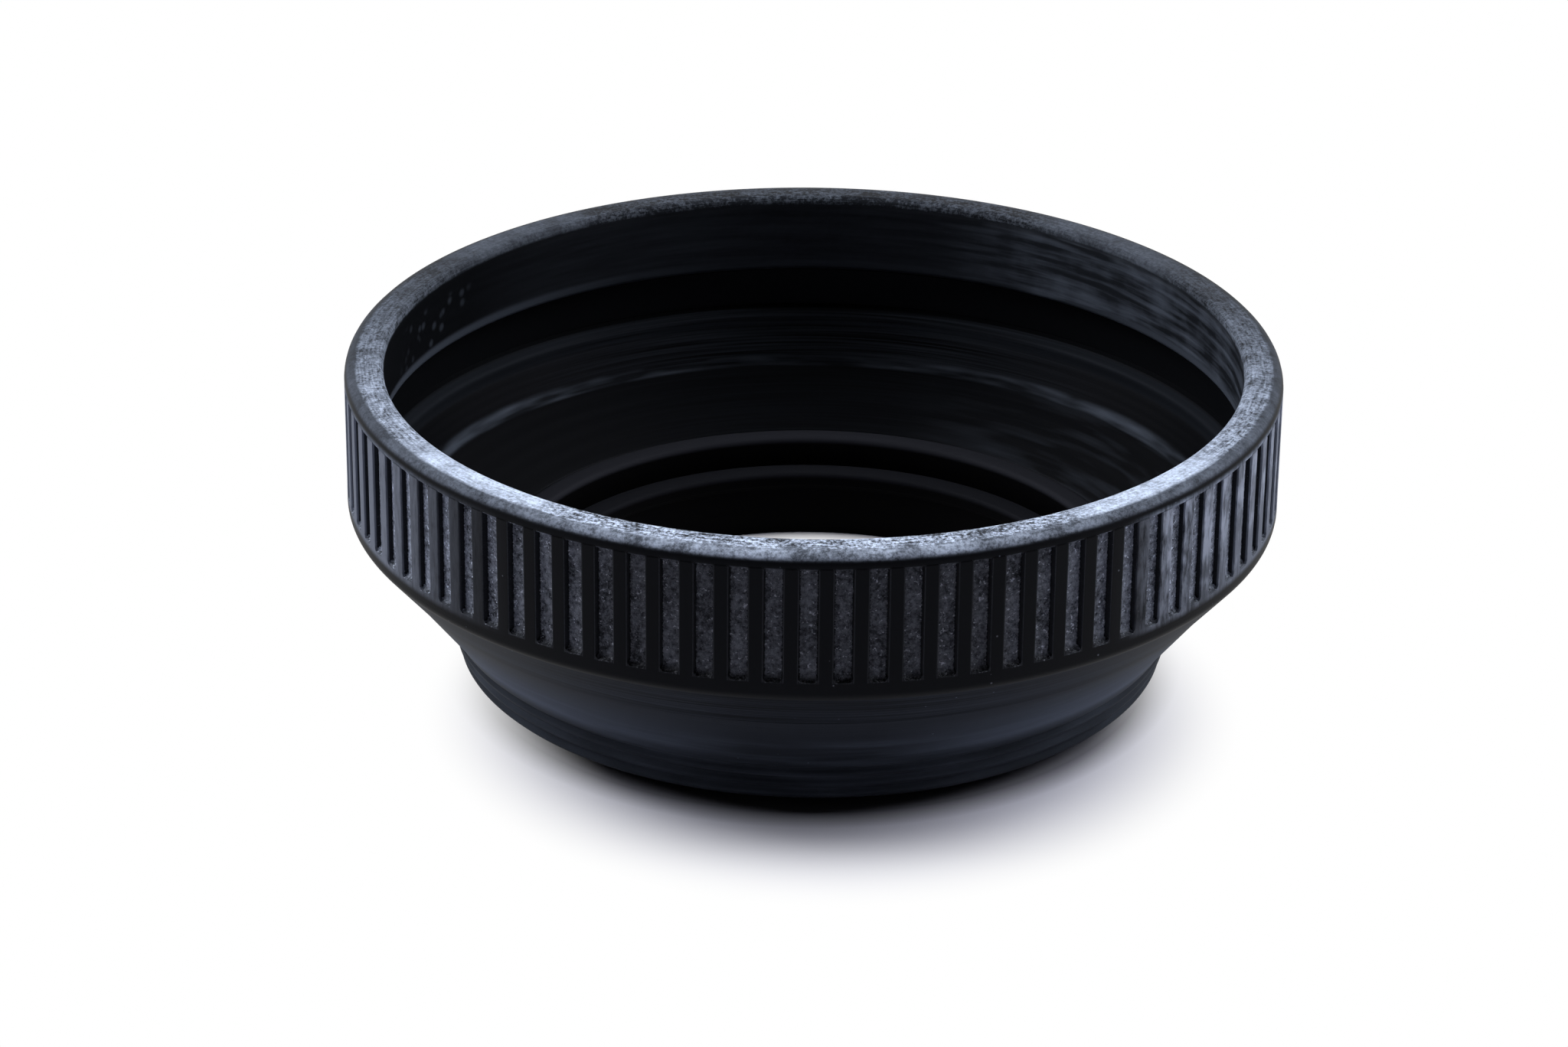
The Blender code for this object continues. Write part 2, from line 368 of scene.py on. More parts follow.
def buildBase():
    s, c = baseSettings, coneSettings
    taper = s["bodyTaper"] / s["bodyHeight"]
    bandTop = baseFoot + s["beadBand"]

    def wallAt(height):
        return bodyRadius - taper * (bodyTop - height)

    beads = []
    for k in range(s["beads"] * s["beadPoints"]):
        share = k / s["beadPoints"]
        height = bandTop - s["beadBand"] * share / s["beads"]
        swell = s["beadRelief"] * (math.sin(math.pi * share) ** 2 - 1)
        beads.append((wallAt(height) + swell, height, 0))
    foldInner = conePoint(c["foldAlong"], c["foldWall"])
    skirt = flangeRadius + s["skirtGap"]
    shelfEdge = (lipRadius + s["lipGap"], s["clampTop"] + s["shelfRise"])
    corners = [
        (*conePoint(c["foldAlong"], 0), 0),
        (bodyRadius, bodyTop - s["waistDrop"], s["waistRound"]),
        (wallAt(bandTop + s["beadGap"]), bandTop + s["beadGap"], 0),
        *beads,
        (wallAt(baseFoot) - s["beadRelief"], baseFoot, s["footRound"]),
        (skirt, baseFoot, s["footRound"]),
        (skirt, s["clampFoot"], 0),
        (s["boreRadius"], s["clampFoot"], 0),
        (s["boreRadius"], s["clampTop"], 0),
        (shelfEdge[0], s["clampTop"], 0),
        (*shelfEdge, s["shelfRound"]),
        *ridgedLine(shelfEdge, foldInner, s["shelfRidges"], s["ridgeHeight"]),
        (*foldInner, 0),
    ]
    base = turnRing("base_moulding", softOutline(corners, s["roundSteps"]), s["columns"])
    finishRing(base, s["smoothAngle"])
    return base


# Metal rings

mountSettings = {
    "columns": 360,
    "threadLength": 2.4 * mm,
    "threadPitch": 0.75 * mm,
    "threadDepth": 0.42 * mm,
    "threadRadius": 24.5 * mm,
    "threadRows": 30,
    "threadFlank": 2.7,           # steepness of the turns
    "threadRelief": 0.1 * mm,     # they end this far below the flange
    "threadRunOut": 0.3 * mm,
    "threadSkin": 0.005 * mm,
    "leadIn": 0.35 * mm,
    "boreRadius": 23.2 * mm,
    "flangeThick": 1.0 * mm,
    "shoulderTop": 4.3 * mm,
    "shoulderRadius": 25.3 * mm,
    "hubRadius": 24.4 * mm,
    "ledgeRadius": 22.5 * mm,
    "ledgeHeight": 1.1 * mm,
    "ledgeSlope": 0.7 * mm,
    "edgeRound": 0.18 * mm,
    "ledgeRound": 0.27 * mm,
    "smoothAngle": 28,
    "colour": "#1a1b1f",
    "satin": 0.2 * mm,            # grey on top down to this depth, painted shade below it
}


def buildMount():
    s = mountSettings
    flangeTop = s["threadLength"] + s["flangeThick"]
    ledgeFoot = hubTop - s["ledgeHeight"]
    threadTop = s["threadLength"] - s["threadRelief"]
    rowCount = s["threadRows"]
    rows = [threadTop + (s["leadIn"] - threadTop) * k / rowCount for k in range(rowCount + 1)]
    corners = [
        (s["hubRadius"], hubTop, s["edgeRound"]),
        (s["hubRadius"], s["shoulderTop"], 0),
        (s["shoulderRadius"], s["shoulderTop"], 0),
        (s["shoulderRadius"], flangeTop, 0),
        (flangeRadius, flangeTop, s["edgeRound"]),
        (flangeRadius, s["threadLength"], s["edgeRound"]),
        (s["threadRadius"], s["threadLength"], 0),
        *[(s["threadRadius"], height, 0) for height in rows],
        (s["threadRadius"] - s["leadIn"], 0, 0),
        (s["boreRadius"], 0, s["edgeRound"]),
        (s["boreRadius"], ledgeFoot - s["ledgeSlope"], 0),
        (s["ledgeRadius"], ledgeFoot, 0),
        (s["ledgeRadius"], hubTop, s["ledgeRound"]),
    ]
    mount = turnRing("threaded_mount", softOutline(corners), s["columns"])
    for vert in mount.data.vertices:
        radius = vert.co.xy.length
        onThread = abs(radius - s["threadRadius"]) <= s["threadSkin"]
        if not onThread or not s["leadIn"] <= vert.co.z <= threadTop:
            continue
        turn = vert.co.z / s["threadPitch"] - math.atan2(vert.co.y, vert.co.x) / math.tau
        crest = min(1, max(0, s["threadFlank"] / 2 - s["threadFlank"] * abs(turn % 1 - 0.5)))
        runOut = min(1, (threadTop - vert.co.z) / s["threadRunOut"])
        vert.co.xy *= 1 - s["threadDepth"] * (1 - crest) * runOut / radius
    finishRing(mount, s["smoothAngle"])
    return mount


lipSettings = {
    "columns": 360,
    "sleeveInner": 24.7 * mm,
    "sleeveOuter": 25.6 * mm,
    "sleeveFoot": 4.6 * mm,
    "lipThick": 1.0 * mm,
    "lipRound": 0.45 * mm,
    "boreRound": 0.45 * mm,
    "roundSteps": 7,
    "smoothAngle": 32,
    "colour": "#25262b",
    # grey on top down to this depth, painted shade below it
    "satin": 0.3 * mm,
}


def buildLip():
    s = lipSettings
    lipFoot = lipTop - s["lipThick"]
    corners = [
        (lipRadius, lipTop, s["lipRound"]),
        (lipRadius, lipFoot, 0),
        (s["sleeveOuter"], lipFoot, 0),
        (s["sleeveOuter"], s["sleeveFoot"], 0),
        (s["sleeveInner"], s["sleeveFoot"], 0),
        (s["sleeveInner"], lipTop, s["boreRound"]),
    ]
    lip = turnRing("clamp_lip", softOutline(corners, s["roundSteps"]), s["columns"])
    finishRing(lip, s["smoothAngle"])
    return lip


# Materials

def hexColour(code):
    # sRGB hex to linear
    channels = [int(code[i:i + 2], 16) / 255 for i in (1, 3, 5)]
    linear = [v / 12.92 if v <= 0.04045 else ((v + 0.055) / 1.055) ** 2.4 for v in channels]
    return (*linear, 1.0)


def addNode(tree, kind, inputs=None, **settings):
    # an input given as a node or a socket is linked, and any other is set
    node = tree.nodes.new(kind)
    for name, value in settings.items():
        setattr(node, name, value)
    for name, value in (inputs or {}).items():
        if isinstance(value, bpy.types.Node):
            value = value.outputs[0]
        if isinstance(value, bpy.types.NodeSocket):
            tree.links.new(value, node.inputs[name])
        else:
            node.inputs[name].default_value = value
    return node


def newMaterial(name):
    material = bpy.data.materials.new(name)
    material.use_nodes = True
    tree = material.node_tree
    tree.nodes.clear()
    surface = addNode(tree, "ShaderNodeBsdfPrincipled")
    addNode(tree, "ShaderNodeOutputMaterial", {"Surface": surface})
    return material, tree, surface


def ringCoords(tree):
    # place, height and radius, the direction round the axis as far, right and aside,
    # and a length across the ring for streaks
    place = addNode(tree, "ShaderNodeTexCoord").outputs["Object"]
    split = addNode(tree, "ShaderNodeSeparateXYZ", {0: place})
    flat = addNode(tree, "ShaderNodeVectorMath", {0: place, 1: (1, 1, 0)}, operation="MULTIPLY")
    radius = addNode(tree, "ShaderNodeVectorMath", {0: flat}, operation="LENGTH").outputs["Value"]
    facing = addNode(tree, "ShaderNodeVectorMath", {0: flat}, operation="NORMALIZE")
    turned = addNode(tree, "ShaderNodeSeparateXYZ", {0: facing})
    aside = addNode(tree, "ShaderNodeMath", {0: turned.outputs["X"]}, operation="ABSOLUTE")
    across = addNode(tree, "ShaderNodeMath", {0: radius, 1: split.outputs["Z"]}, operation="ADD")
    return {
        "place": place, "x": split.outputs["X"], "y": split.outputs["Y"], "z": split.outputs["Z"],
        "radius": radius, "facing": facing, "across": across,
        "right": turned.outputs["X"], "far": turned.outputs["Y"], "aside": aside,
    }


def streaks(tree, ring, lengthMm, widthMm, detail=2.0):
    # noise drawn out round the ring, from its length and width in millimetres
    along = addNode(tree, "ShaderNodeVectorMath",
                    {0: ring["facing"], "Scale": collarRadius / (lengthMm * mm)}, operation="SCALE")
    fine = addNode(tree, "ShaderNodeMath", {0: ring["across"], 1: 1 / (widthMm * mm)}, operation="MULTIPLY")
    lift = addNode(tree, "ShaderNodeCombineXYZ", {"Z": fine})
    vector = addNode(tree, "ShaderNodeVectorMath", {0: along, 1: lift}, operation="ADD")
    return addNode(tree, "ShaderNodeTexNoise", {"Vector": vector, "Scale": 1.0, "Detail": detail})


def window(tree, value, low, high, soft):
    # one between two limits, fading to nothing over the soft width
    rise = addNode(tree, "ShaderNodeMapRange", {"Value": value, "From Min": low - soft, "From Max": low},
                   interpolation_type="SMOOTHSTEP")
    fall = addNode(tree, "ShaderNodeMapRange",
                   {"Value": value, "From Min": high, "From Max": high + soft, "To Min": 1.0, "To Max": 0.0},
                   interpolation_type="SMOOTHSTEP")
    return addNode(tree, "ShaderNodeMath", {0: rise, 1: fall}, operation="MULTIPLY")


rubberSettings = {
    "rubber": "#08090b",
    "chalk": "#d9e7ff",          # bloom on the rim
    "dust": "#d6dae5",           # in the middle grooves
    "film": "#c9d8f2",           # wiped over the rest
    "gleam": "#d4d8ec",
    "roughness": 0.5,
    "dryRoughness": 0.85,
    "mouldLineMm": (14.0, 0.22),     # length and width of the lines left by the turned mould
    "mouldRelief": 0.03 * mm,
    "grainMm": 0.14,
    "dotsMm": 1.4,               # spacing of the dust specks
    "dotsLeftOut": 0.55,
    "ringLineMm": (20.0, 0.3),
}


def rubberBase(name, specular):
    # moulded natural rubber: matt black, faintly lined round the axis by the turned mould
    s = rubberSettings
    material, tree, surface = newMaterial(name)
    ring = ringCoords(tree)
    lines = streaks(tree, ring, *s["mouldLineMm"])
    grain = addNode(tree, "ShaderNodeTexNoise",
                    {"Vector": ring["place"], "Scale": 1 / (s["grainMm"] * mm), "Detail": 2.0})
    height = addNode(tree, "ShaderNodeMath", {0: lines, 1: 0.5, 2: grain}, operation="MULTIPLY_ADD")
    bump = addNode(tree, "ShaderNodeBump",
                   {"Strength": 0.2, "Distance": s["mouldRelief"], "Height": height})
    tree.links.new(bump.outputs[0], surface.inputs["Normal"])
    surface.inputs["Specular IOR Level"].default_value = specular
    surface.inputs["Specular Tint"].default_value = hexColour(s["gleam"])
    return material, tree, surface, ring


def layChalk(tree, surface, ring, mask, chalk, outside):
    # dry bloom over the rubber: pale and rougher where the mask is high,
    # with specks of dust on the outside, drawn larger than real ones so that they show
    s = rubberSettings
    dots = addNode(tree, "ShaderNodeTexVoronoi",
                   {"Vector": ring["place"], "Scale": 1 / (s["dotsMm"] * mm)})
    speck = addNode(tree, "ShaderNodeMapRange",
                    {"Value": dots.outputs["Distance"], "From Min": 0.07, "From Max": 0.03, "To Max": 0.13})
    some = addNode(tree, "ShaderNodeMath", {0: dots.outputs["Color"], 1: s["dotsLeftOut"]},
                   operation="GREATER_THAN")
    speck = addNode(tree, "ShaderNodeMath", {0: speck, 1: some}, operation="MULTIPLY")
    speck = addNode(tree, "ShaderNodeMath", {0: speck, 1: outside}, operation="MULTIPLY")
    mask = addNode(tree, "ShaderNodeMath", {0: mask, 1: speck}, operation="MAXIMUM")
    colour = addNode(tree, "ShaderNodeMix", {"Factor": mask, 6: hexColour(s["rubber"]), 7: chalk},
                     data_type="RGBA")
    tree.links.new(colour.outputs[2], surface.inputs["Base Color"])
    rough = addNode(tree, "ShaderNodeMapRange", {"Value": mask, "From Max": 0.25, "To Min": s["roughness"],
                                                 "To Max": s["dryRoughness"]})
    tree.links.new(rough.outputs[0], surface.inputs["Roughness"])


rimSettings = {
    "land": 1.15 * mm,           # the flat land starts this far inside the outer edge
    "landFade": 0.55 * mm,
    "round": (1.4 * mm, 0.3 * mm),
    "roundFade": 0.25 * mm,
    "corners": (0.6, 0.8),       # the near corners, as shares of the way to the side
    "cornerFade": 0.1,
    "cornerFill": 0.45,
    "cornerGrain": 0.65,
    "depth": 0.5 * mm,           # how far the bloom comes down over the edge
    "depthFade": 0.35 * mm,
}


def rimBloom(tree, ring, grain, cloud):
    # thick on the flat land, fuller at the near corners, thinner round the outer edge,
    # and thinner on the far side
    s = rimSettings
    mouth = collarRadius - collarSettings["rimWidth"]
    land = window(tree, ring["radius"], mouth, collarRadius - s["land"], s["landFade"])
    edge = window(tree, ring["radius"], collarRadius - s["round"][0], collarRadius - s["round"][1],
                  s["roundFade"])
    thick = addNode(tree, "ShaderNodeMapRange",
                    {"Value": grain, "From Min": 0.45, "From Max": 0.585, "To Min": 0.03, "To Max": 1.05})
    whole = window(tree, ring["aside"], *s["corners"], s["cornerFade"])
    whole = addNode(tree, "ShaderNodeMath", {0: whole, 1: s["cornerFill"]}, operation="MULTIPLY")
    fuller = addNode(tree, "ShaderNodeMath", {0: thick, 1: s["cornerGrain"], 2: whole},
                     operation="MULTIPLY_ADD")
    thick = addNode(tree, "ShaderNodeMath", {0: thick, 1: fuller}, operation="MAXIMUM")
    land = addNode(tree, "ShaderNodeMath", {0: land, 1: thick}, operation="MULTIPLY")
    thin = addNode(tree, "ShaderNodeMapRange",
                   {"Value": grain, "From Min": 0.42, "From Max": 0.58, "To Min": 0.14, "To Max": 0.62})
    near = addNode(tree, "ShaderNodeMapRange", {"Value": ring["aside"], "From Min": 0.25, "From Max": 0.7,
                                                "To Min": 1.0, "To Max": 0.35})
    for share in (thin, near):
        edge = addNode(tree, "ShaderNodeMath", {0: edge, 1: share}, operation="MULTIPLY")
    rim = addNode(tree, "ShaderNodeMath", {0: land, 1: edge}, operation="MAXIMUM")
    top = window(tree, ring["z"], hoodTop - s["depth"], hoodTop + past, s["depthFade"])
    rim = addNode(tree, "ShaderNodeMath", {0: rim, 1: top}, operation="MULTIPLY")
    # the bloom thins towards the far side
    farThinning = addNode(tree, "ShaderNodeMapRange", {"Value": ring["far"], "From Min": -0.75, "From Max": 0.55,
                                                "To Min": 1.0, "To Max": 0.12},
                   interpolation_type="SMOOTHSTEP")
    patchy = addNode(tree, "ShaderNodeMapRange",
                     {"Value": cloud, "From Min": 0.34, "From Max": 0.5, "To Min": 0.68, "To Max": 1.0})
    farThinning = addNode(tree, "ShaderNodeMath", {0: farThinning, 1: patchy}, operation="MULTIPLY")
    return addNode(tree, "ShaderNodeMath", {0: rim, 1: farThinning}, operation="MULTIPLY")


grooveSettings = {
    "skin": 0.6 * mm,            # the grip is this deep
    "gripFade": 0.1 * mm,
    "ragged": 0.16,              # how far the specks break up the dust's edge, in shares of a rib's pitch
    "edgeFade": 0.03,
    "footSpecks": 1.2 * mm,      # the floor's foot is clean up to a ragged height
    "footClean": 0.8 * mm,
    "footFade": 0.3 * mm,
    "coarseMm": 0.4,
    "cloudShare": 0.4,
    "sparkMm": 0.34,
    # a painted highlight along the ribs' edges
    "highlightEdge": (0.005, 0.02),
    "paintedHighlight": 0.045,
    # painted light on the ledge at each groove's foot
    "ledge": (-0.02 * mm, 0.06 * mm),
    "ledgeFade": 0.06 * mm,
}


def grooveBloom(tree, ring, speck, cloud):
    # specks on the floors, more of them to the sides, which is partly painted light, dust settled on the
    # foot, painted light on the ledge at the foot, and a painted highlight along the ribs' edges
    c, s = collarSettings, grooveSettings
    pitch = math.tau / c["ribs"]
    phase = 0.5 - math.radians(c["groovePhase"]) / pitch
    turn = addNode(tree, "ShaderNodeMath", {0: ring["y"], 1: ring["x"]}, operation="ARCTAN2")
    share = addNode(tree, "ShaderNodeMath", {0: turn, 1: 1 / pitch, 2: phase}, operation="MULTIPLY_ADD")
    share = addNode(tree, "ShaderNodeMath", {0: share}, operation="FRACT")
    share = addNode(tree, "ShaderNodeMath", {0: share, 1: 0.5}, operation="SUBTRACT")
    share = addNode(tree, "ShaderNodeMath", {0: share}, operation="ABSOLUTE")
    halfGroove = c["grooveColumns"] / c["columnsPerRib"] / 2
    foot = collarFoot + c["gripFoot"]
    head = hoodTop - c["gripTop"] - s["gripFade"]
    grip = window(tree, ring["z"], foot, head, s["gripFade"])
    outer = window(tree, ring["radius"], collarRadius - s["skin"], collarRadius + past, s["gripFade"])
    grip = addNode(tree, "ShaderNodeMath", {0: grip, 1: outer}, operation="MULTIPLY")
    ragged = addNode(tree, "ShaderNodeMath", {0: speck, 1: s["ragged"], 2: share}, operation="MULTIPLY_ADD")
    floor = window(tree, ragged, -halfGroove, halfGroove + s["edgeFade"], s["edgeFade"])
    settled = addNode(tree, "ShaderNodeMath", {0: speck, 1: s["footSpecks"], 2: ring["z"]},
                      operation="MULTIPLY_ADD")
    settled = window(tree, settled, foot + s["footClean"], hoodTop, s["footFade"])
    coarse = addNode(tree, "ShaderNodeTexNoise", {"Vector": ring["place"], "Scale": 1 / (s["coarseMm"] * mm),
                                                  "Detail": 4.0, "Roughness": 0.8})
    grain = addNode(tree, "ShaderNodeMath", {0: cloud, 1: s["cloudShare"], 2: coarse},
                    operation="MULTIPLY_ADD")
    dusty = addNode(tree, "ShaderNodeMapRange",
                    {"Value": grain, "From Min": 0.54, "From Max": 0.9, "To Min": 0.05, "To Max": 0.95})
    sparks = addNode(tree, "ShaderNodeTexNoise", {"Vector": ring["place"], "Scale": 1 / (s["sparkMm"] * mm),
                                                  "Detail": 2.0, "Roughness": 0.8})
    sparks = addNode(tree, "ShaderNodeMapRange",
                     {"Value": sparks, "From Min": 0.61, "From Max": 0.7, "To Max": 1.5})
    dusty = addNode(tree, "ShaderNodeMath", {0: dusty, 1: sparks}, operation="ADD")
    # partly painted light: more specks towards the sides, most on the left
    more = addNode(tree, "ShaderNodeMapRange", {"Value": ring["aside"], "From Min": 0.35, "From Max": 0.95,
                                                "To Min": 0.18, "To Max": 0.62})
    most = addNode(tree, "ShaderNodeMapRange", {"Value": ring["right"], "From Min": -0.78, "From Max": -0.92,
                                                "To Min": 1.0, "To Max": 1.75})
    for part in (settled, dusty, more, most):
        floor = addNode(tree, "ShaderNodeMath", {0: floor, 1: part}, operation="MULTIPLY")
    # painted highlight: a pale line along the edges of the ribs
    paintedHighlight = window(tree, share, halfGroove + s["highlightEdge"][0], halfGroove + s["highlightEdge"][1],
                    s["highlightEdge"][1])
    for part in (speck, s["paintedHighlight"]):
        paintedHighlight = addNode(tree, "ShaderNodeMath", {0: paintedHighlight, 1: part}, operation="MULTIPLY")
    both = addNode(tree, "ShaderNodeMath", {0: floor, 1: paintedHighlight}, operation="MAXIMUM")
    both = addNode(tree, "ShaderNodeMath", {0: both, 1: grip}, operation="MULTIPLY")
    # painted light on the ledge at each groove's foot, stronger towards the sides
    ledge = window(tree, ring["z"], foot + s["ledge"][0], foot + s["ledge"][1], s["ledgeFade"])
    inGroove = window(tree, share, -halfGroove, halfGroove - s["edgeFade"], s["edgeFade"])
    sides = addNode(tree, "ShaderNodeMapRange", {"Value": ring["aside"], "From Min": 0.4, "From Max": 0.85,
                                                 "To Min": 0.008, "To Max": 0.09})
    for part in (inGroove, outer, sides):
        ledge = addNode(tree, "ShaderNodeMath", {0: ledge, 1: part}, operation="MULTIPLY")
    return addNode(tree, "ShaderNodeMath", {0: both, 1: ledge}, operation="MAXIMUM")


crestSettings = {
    "side": (0.74, 0.97),        # the milky film, as shares of the way to the right
    "sideFade": 0.12,
    "skin": 0.12 * mm,
    "skinFade": 0.1 * mm,
    "top": 1.4 * mm,             # below the rim
    "endFade": 0.6 * mm,
    "fullHeight": 7 * mm,        # it thins out downwards from here
    "wipedMm": 0.38,
    "wipedDown": (1, 1, 0.2),    # and its marks are drawn out down the ribs
    # a painted sheen at both sides, drawn as a thin film
    "paintedSheenRise": 1.7,
    "paintedSheen": 0.72,
    "paintedSheenMost": 0.21,
}


def crestBloom(tree, ring, cloud):
    # a milky film over the ribs on the right, and at both sides a painted sheen drawn as a much thinner film
    s = crestSettings
    film = window(tree, ring["right"], *s["side"], s["sideFade"])
    outer = window(tree, ring["radius"], collarRadius - s["skin"], collarRadius + past, s["skinFade"])
    ribs = window(tree, ring["z"], collarFoot + collarSettings["gripFoot"], hoodTop - s["top"], s["endFade"])
    outer = addNode(tree, "ShaderNodeMath", {0: outer, 1: ribs}, operation="MULTIPLY")
    upper = addNode(tree, "ShaderNodeMapRange", {"Value": ring["z"], "From Min": collarFoot,
                                                 "From Max": collarFoot + s["fullHeight"], "To Min": 0.45})
    wiped = addNode(tree, "ShaderNodeVectorMath", {0: ring["place"], 1: s["wipedDown"]},
                    operation="MULTIPLY")
    wiped = addNode(tree, "ShaderNodeTexNoise", {"Vector": wiped, "Scale": 1 / (s["wipedMm"] * mm),
                                                 "Detail": 4.0, "Roughness": 0.7})
    milky = addNode(tree, "ShaderNodeMath", {0: wiped, 1: cloud}, operation="ADD")
    milky = addNode(tree, "ShaderNodeMapRange",
                    {"Value": milky, "From Min": 0.8, "From Max": 1.16, "To Min": 0.05, "To Max": 0.44})
    for part in (outer, upper, milky):
        film = addNode(tree, "ShaderNodeMath", {0: film, 1: part}, operation="MULTIPLY")
    # painted sheen: the ribs grow paler towards both sides
    thin = addNode(tree, "ShaderNodeMapRange", {"Value": ring["aside"], "From Min": 0.6, "From Max": 1.0})
    thin = addNode(tree, "ShaderNodeMath", {0: thin, 1: s["paintedSheenRise"]}, operation="POWER")
    for part in (wiped, s["paintedSheen"]):
        thin = addNode(tree, "ShaderNodeMath", {0: thin, 1: part}, operation="MULTIPLY")
    thin = addNode(tree, "ShaderNodeMath", {0: thin, 1: s["paintedSheenMost"]}, operation="MINIMUM")
    thin = addNode(tree, "ShaderNodeMath", {0: thin, 1: outer}, operation="MULTIPLY")
    return addNode(tree, "ShaderNodeMath", {0: film, 1: thin}, operation="MAXIMUM")


mouthSettings = {
    "wall": (34 * mm, 35.5 * mm),    # radii that take in the mouth's wall
    "wallFade": 0.15 * mm,
    "cloudFoot": 0.2 * mm,       # above the wall's foot
    "cloudTop": 1.2 * mm,        # below the rim
    "cloudFade": 0.8 * mm,
    "side": (0.62, 0.98),        # as shares of the way to the right
    "sideFade": 0.35,
    "streakMm": (8.0, 0.5),
    "cloudShare": 0.55,
    "edgeHighlightHeight": 0.6 * mm,
    "edgeHighlightFade": 0.5 * mm,
    "spotMm": 1.3,
    "spotSide": (-0.94, -0.87),
    "spotSideFade": 0.05,
    "spotFoot": 1.2 * mm,
    "spotTop": 2.5 * mm,
    "spotFade": 0.8 * mm,
}


def mouthBloom(tree, ring, cloud):
    # wiped clouds inside the mouth on the right, dried spots on the left,
    # a painted highlight along the lower edge at both sides, and the wall lighter in streaks towards the
    # back
    s = mouthSettings
    foot = collarSettings["mouthFoot"]
    inner = window(tree, ring["radius"], *s["wall"], s["wallFade"])
    wall = window(tree, ring["z"], foot + s["cloudFoot"], hoodTop - s["cloudTop"], s["cloudFade"])
    side = window(tree, ring["right"], *s["side"], s["sideFade"])
    drawn = streaks(tree, ring, *s["streakMm"], 3.0)
    wiped = addNode(tree, "ShaderNodeMath", {0: cloud, 1: s["cloudShare"], 2: drawn},
                    operation="MULTIPLY_ADD")
    wiped = addNode(tree, "ShaderNodeMapRange",
                    {"Value": wiped, "From Min": 0.62, "From Max": 1.0, "To Min": 0.01, "To Max": 0.1})
    for part in (inner, side, wiped):
        wall = addNode(tree, "ShaderNodeMath", {0: wall, 1: part}, operation="MULTIPLY")
    # painted highlight along the mouth's lower edge, stronger towards the sides
    line = window(tree, ring["z"], foot, foot + s["edgeHighlightHeight"], s["edgeHighlightFade"])
    sides = addNode(tree, "ShaderNodeMapRange", {"Value": ring["aside"], "From Min": 0.45, "From Max": 0.97,
                                                 "To Min": 0.01, "To Max": 0.08})
    for part in (inner, sides):
        line = addNode(tree, "ShaderNodeMath", {0: line, 1: part}, operation="MULTIPLY")
    spots = addNode(tree, "ShaderNodeTexVoronoi", {"Vector": ring["place"], "Scale": 1 / (s["spotMm"] * mm)})
    spots = addNode(tree, "ShaderNodeMapRange", {"Value": spots.outputs["Distance"], "From Min": 0.36,
                                                 "From Max": 0.15, "To Max": 0.035})
    left = window(tree, ring["right"], *s["spotSide"], s["spotSideFade"])
    band = window(tree, ring["z"], foot + s["spotFoot"], hoodTop - s["spotTop"], s["spotFade"])
    back = addNode(tree, "ShaderNodeMapRange", {"Value": ring["far"], "From Max": 0.2})
    for part in (left, band, back, inner):
        spots = addNode(tree, "ShaderNodeMath", {0: spots, 1: part}, operation="MULTIPLY")
    for bloom in (line, spots):
        wall = addNode(tree, "ShaderNodeMath", {0: wall, 1: bloom}, operation="MAXIMUM")
    # the wall is made lighter in streaks towards the back
    dull = addNode(tree, "ShaderNodeMapRange", {"Value": ring["far"], "From Min": 0.55, "From Max": 0.95,
                                                "To Min": 0.003, "To Max": 0.03})
    for part in (inner, drawn):
        dull = addNode(tree, "ShaderNodeMath", {0: dull, 1: part}, operation="MULTIPLY")
    return addNode(tree, "ShaderNodeMath", {0: wall, 1: dull}, operation="ADD")


bloomSettings = {
    "speckMm": 0.18,
    "cloudMm": 3.0,
    "drawnMm": (2.0, 0.17),
    "patchMm": 1.0,
    "pitMm": 0.3,                # coarser than the real pits, which are too fine to show
    "pitShare": 0.46,
    "drawnShare": 0.24,
    "patchShare": 0.18,
    "cloudShare": 0.12,
    "evenGrain": 0.511,          # the grain levels out to this at the sides
    "chalkDepth": 1 * mm,        # the rim's colour reaches this far down
    "chalkFade": 0.4 * mm,
    "skin": 0.7 * mm,
    "skinFade": 0.1 * mm,
}


